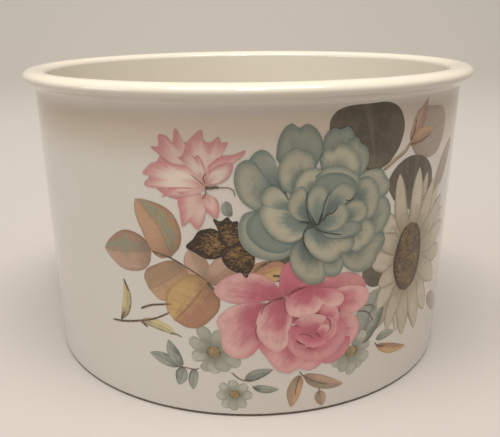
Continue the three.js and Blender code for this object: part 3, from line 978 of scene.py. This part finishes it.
# %% Lay the white daisy
DAISY_HEART = (44.8, 37.4)
DAISY_EYE = (5.8, 9.4)
DAISY_PETALS = [  # tip along, tip up, width, layer, bow
    (33.4, 52.4, 5.6, 3, -0.6), (54.6, 56.4, 5.6, 3, 0.8), (31.2, 38.6, 7.4, 4, 0.4),
    (62, 50.4, 6, 4, 0.6), (34.2, 25.6, 6, 3, 0.6), (66.6, 41.6, 6.2, 5, 0.4), (45.2, 14.8, 6, 4, 0.5),
    (65.8, 33, 6.4, 4, -0.4), (62.4, 25.4, 6, 5, -0.6), (57.2, 18, 6, 3, -0.4),
    (38.6, 60.2, 4.8, 5, -0.8), (46.4, 60.6, 5.4, 6, 0.5), (38.2, 18.6, 5.2, 5, 0.4),
    (51.6, 14.4, 5.6, 6, -0.4), (32.6, 45.4, 5.6, 6, 0.3), (34, 32, 5.6, 6, 0),
    (50.6, 58.8, 4.4, 2, 0.4), (58.6, 54.4, 4.6, 2, 0.4), (42, 16.8, 4.4, 2, 0.2),
    (64.6, 46.4, 5, 2, 0.4),
]
daisy = []
for tip_along, tip_up, width, layer, bow in DAISY_PETALS:
    way = math.atan2((tip_up - DAISY_HEART[1]) / DAISY_EYE[1], (tip_along - DAISY_HEART[0]) / DAISY_EYE[0])
    base = (DAISY_HEART[0] + 0.6 * DAISY_EYE[0] * math.cos(way),
            DAISY_HEART[1] + 0.6 * DAISY_EYE[1] * math.sin(way))
    petal = lay_blade(base, (tip_along, tip_up), width, layer, 0.6, 0.7, bow, chance.uniform(0.2, 0.9),
                      chance.uniform(0.5, 1.0), 0.07)
    daisy.append((petal, daisy_white))


def lay_eye(centre, half_width, half_height, layer, tone=0.5):
    """The seed head of a daisy: an oval of stippled enamel."""
    return lay_blade((centre[0], centre[1] - half_height), (centre[0], centre[1] + half_height),
                     2 * half_width, layer, 0.5, 0.5, 0.0, tone, 0.5, 0.03)


daisy.append((lay_eye(DAISY_HEART, *DAISY_EYE, 10), daisy_eye))
finished_print("white_daisy_print", daisy, "bouquet_transfer")

# %% [markdown]
# ## Leaves, cones and small flowers of the bouquet
# Everything that lies behind or beside the large flowers: two dark leaves under the rim, a spray of
# autumn leaves, three speckled seed cones and three small grey daisies.

# %% Lay the leaves of the bouquet
BOUQUET_LEAVES = [  # base, tip, width, layer, base power, tip power, bow, light, finish
    ((28.6, 36.6), (37.4, 33.4), 5.6, 1, 0.5, 0.6, 0, 0.3, dark_leaf),
    ((55.4, 52.6), (65.8, 65.2), 5.6, 1, 0.6, 0.7, 0, 0.3, pale_leaf),
    ((59, 21.4), (72, 13), 5, 1, 0.6, 0.8, 0, 0.3, pale_leaf),
    ((41.6, 67.6), (47.4, 77.2), 4, 2, 0.7, 1, 0.5, 0.3, rosy_leaf),
    ((41.4, 66.8), (51, 69.2), 3.6, 2, 0.7, 0.8, -0.7, 0.2, autumn_leaf),
    ((-18.9, 42.6), (-27.5, 56.2), 10.4, 1, 0.5, 0.75, 1.6, 1, autumn_leaf),
    ((-24, 43.6), (-38.6, 41.9), 10.6, 2, 0.55, 0.8, -0.3, 1, rosy_leaf),
    ((-15.2, 40.6), (-25.4, 33.4), 9.8, 3, 0.6, 0.38, -0.4, 0.2, autumn_leaf),
    ((-10, 37.2), (-14.2, 45.2), 6, 2, 0.5, 0.6, -0.6, 0.4, rosy_leaf),
    ((-10, 37.2), (-3.6, 43), 7, 3, 0.5, 0.5, 0.6, 0, rosy_leaf),
    ((-9.8, 37.4), (-19, 26), 12.8, 4, 0.45, 0.46, -0.4, 0.2, golden_leaf),
    ((-1.6, 38), (8.6, 41), 6, 1, 0.6, 0.6, 0, 0, golden_leaf),
    ((5.4, 37.4), (9.4, 43.4), 6, 0, 0.6, 0.6, 0, 0.3, dark_leaf),
    ((-4.2, 53.4), (-5.2, 57), 2.6, 2, 0.6, 0.6, -0.4, 0.5, green_leaf),
    ((28.6, 17), (34.6, 31.4), 9, 1, 0.5, 0.6, 0, 0.9, green_leaf),
    ((30, 20), (38.4, 26), 6, 0, 0.6, 0.6, 0, 0.9, pale_leaf),
    ((-1.6, 10.8), (5.6, 13.6), 2.8, 2, 0.6, 0.9, -0.3, 0.6, green_leaf),
    ((0.6, 8.6), (7, 7.8), 2.2, 2, 0.6, 0.9, 0.2, 0.6, green_leaf),
]
BROAD_LEAVES = [  # base, layer, finish, edge
    ((31, 61.6), 1, dark_leaf, [(25, 63.4), (19.8, 68.6), (18, 73), (19.2, 76), (22.6, 77.3),
     (28, 77.5), (33.4, 77.5), (37.2, 75.6), (39, 71.6), (37.8, 67), (35, 63.6)]),
    ((44, 50), 2, dark_leaf, [(37, 54), (34.8, 58), (36.8, 61.6), (40.6, 63.7), (45, 63.9),
     (49.6, 62.2), (52.8, 58.8), (53.2, 54.8), (50.6, 51.6)]),
    ((42.4, 66), 0, pale_leaf, [(41.8, 71), (43.4, 74.4), (47, 75.4), (52, 75), (55.8, 74.4),
     (58.2, 71.4), (57.8, 66.8), (54.8, 63.2), (49, 62.5), (44.4, 63.8)]),
]
bouquet = [(lay_petal(base, edge, layer, 0.4, 0.5), finish) for base, layer, finish, edge in BROAD_LEAVES]
for base, tip, width, layer, base_power, tip_power, bow, light, finish in BOUQUET_LEAVES:
    leaf = lay_blade(base, tip, width, layer, base_power, tip_power, bow, chance.uniform(0.2, 0.8), light)
    bouquet.append((leaf, finish))
STEMS = [  # points, width
    ([(33, 61.8), (37, 64), (40.2, 65.6), (41.4, 67.4)], 0.9),
    ([(41.6, 67.6), (42.8, 70), (43.2, 72.8)], 0.5),
    ([(41.6, 66.9), (45.6, 67.2), (50.4, 68.6)], 0.35),
    ([(-24, 43.6), (-21, 43), (-18.9, 42.4), (-15, 40.4), (-12, 38.6), (-10.2, 37.2)], 0.45),
    ([(-10.2, 37.2), (-9, 35.4), (-7.6, 33)], 0.8),
    ([(1, 40), (2.8, 41.4), (5.2, 42.6)], 0.8),
    ([(5.4, 38.8), (7.2, 38.6)], 0.7),
    ([(-5, 13), (-3, 11.2), (-1, 10.6), (2.4, 11.4)], 0.3),
    ([(0.4, 9.2), (0.8, 8.4), (2.4, 8.2)], 0.35),
    ([(28, 26.6), (31, 25.6), (33.2, 22.6)], 0.4),
    ([(30, 27.6), (32, 27.4), (33.4, 26.2)], 0.3),
]
for points, width in STEMS:
    bouquet.append((lay_stroke(points, width, 5, 0.4), line_brown))
pale_stem = [(33.2, 62.0), (37.0, 64.2), (40.0, 65.7), (41.2, 67.2)]
bouquet.append((lay_stroke(pale_stem, 0.65, 6, 0.4, 0.1), line_pale))
finished_print("bouquet_leaf_print", bouquet, "bouquet_transfer")

# %% Lay the seed cones
CONES = [  # base, edge
    ((-5.4, 46.6), [(-6, 43.8), (-8, 43), (-10.4, 43), (-12.6, 44.2), (-15, 45.6), (-13.2, 47.6),
     (-11.8, 49.6), (-10.2, 50.2), (-8.2, 50.4), (-6, 49)]),
    ((-3.6, 45.4), [(-6.6, 46.8), (-7.2, 50.2), (-8.3, 52.8), (-6.6, 52.2), (-4.9, 53.3), (-4, 52.2),
     (-2.5, 52.3), (-2.6, 50.2), (-0.6, 46.6)]),
    ((-3, 46.6), [(-5.6, 46.2), (-6.5, 43.4), (-5.4, 41.2), (-3.2, 39.8), (-2, 39.7), (-0.9, 38.2),
     (0, 39.8), (1, 41.6), (1.2, 44), (0, 46), (-1.4, 47.2)]),
]
cones = [(lay_petal(base, edge, 5 + number), cone_brown) for number, (base, edge) in enumerate(CONES)]
finished_print("seed_cone_print", cones, "bouquet_transfer")

# %% Lay the small daisies
SMALL_DAISIES = [  # centre, petal width, petal tips
    ((-9.2, 18.4), 4, [(-12.6, 25.2), (-7.4, 24.6), (-15.4, 21.4), (-4.6, 20.8), (-14.8, 16),
     (-2.6, 15), (-12, 12.8), (-9, 12.2), (-5.6, 13.2)]),
    ((-4.2, 6.6), 3, [(-8, 9.4), (-4.8, 10.8), (-1.2, 9.6), (0.4, 6.2), (-1.6, 2.8), (-4.4, 1.8),
     (-7.4, 2.8), (-9, 5.8)]),
    ((26.6, 15.6), 4, [(21, 12.6), (30.6, 20.6), (23.6, 10.2), (32.6, 16.6), (26.4, 8.6), (32.2, 12.4),
     (29.6, 10.2)]),
]
small = []
for centre, width, tips in SMALL_DAISIES:
    for number, tip in enumerate(tips):
        petal = lay_blade(centre, tip, width * 0.88, number % 3, 0.8, 0.5, chance.uniform(-0.4, 0.4),
                          chance.uniform(0.1, 0.9), chance.uniform(0.2, 1.0), 0.12, 0.32)
        small.append((petal, daisy_grey))
    small.append((lay_eye(centre, width * 0.46, width * 0.4, 4), small_eye))
finished_print("small_daisy_print", small, "bouquet_transfer")

# %% [markdown]
# ## The scattered transfers
# Four small transfers were laid on by themselves round the bouquet: a budding twig, a green sprig, a
# pair of brown leaves and a pair of small leaves at the right.

# %% Lay the scattered transfers
def lay_scatter(name, node, leaves, stems):
    laid = [(lay_blade(base, tip, width, number % 3, 0.6, 0.8, bow, chance.uniform(0.2, 0.8), 0.7), finish)
            for number, (base, tip, width, bow, finish) in enumerate(leaves)]
    laid += [(lay_stroke(points, width, 4, 0.4), line_brown) for points, width in stems]
    finished_print(name, laid, node)


lay_scatter("twig_print", "budding_twig_transfer",
            [((-34.8, 23.2), (-33.0, 34.8), 2.8, 1.4, bud_yellow),
             ((-28.4, 24.4), (-18.6, 22.2), 2.6, -0.7, bud_yellow)],
            [([(-38.4, 22.2), (-34.0, 22.8), (-28.6, 24.2), (-24.0, 25.8), (-19.4, 28.4)], 0.6),
             ([(-28.4, 27.6), (-25.0, 29.2), (-19.4, 30.4)], 0.6),
             ([(-33.0, 34.8), (-32.4, 33.2), (-31.8, 31.6)], 0.5),
             ([(-35.0, 23.0), (-34.4, 24.4), (-33.6, 25.6)], 0.7),
             ([(-28.8, 24.2), (-27.6, 23.4), (-26.6, 22.8)], 0.6),
             ([(-20.4, 22.2), (-18.6, 22.2), (-17.2, 21.6)], 0.35)])
lay_scatter("green_sprig_print", "green_sprig_transfer",
            [((-18.8, 13.2), (-26.6, 15.6), 3.4, 0.4, green_leaf),
             ((-17.6, 13.4), (-21.0, 20.4), 3.4, -0.5, green_leaf),
             ((-17.2, 13.2), (-18.8, 7.8), 3.2, 0.0, green_leaf),
             ((-14.2, 13.2), (-15.0, 7.0), 2.6, 0.2, green_leaf)],
            [([(-20.0, 12.9), (-17.6, 13.2), (-14.2, 13.0), (-13.0, 13.6)], 0.3)])
lay_scatter("brown_leaf_print", "brown_leaf_transfer",
            [((12.4, 11.4), (10.2, 2.2), 3.8, 0.3, autumn_leaf),
             ((13.4, 11.2), (24.6, 6.6), 3.8, 0.7, rosy_leaf),
             ((17.6, 6.0), (18.8, 1.4), 3.0, 0.0, rosy_leaf)],
            [([(12.2, 12.6), (13.6, 10.8), (17.0, 8.6), (20.0, 7.6)], 0.35),
             ([(12.4, 11.2), (11.6, 8.4), (11.2, 5.6)], 0.3),
             ([(17.9, 7.0), (17.7, 5.6), (18.2, 4.2)], 0.25)])
lay_scatter("leaf_pair_print", "leaf_pair_transfer",
            [((34.6, 17.0), (41.4, 17.2), 2.6, -0.3, green_leaf),
             ((34.8, 15.0), (47.4, 10.6), 2.8, 0.6, golden_leaf)],
            [([(34.2, 16.0), (35.6, 14.6), (38.6, 13.8)], 0.4)])

# %% Clear the blanks away
for blank in blanks:
    bpy.data.objects.remove(blank, do_unlink=True)
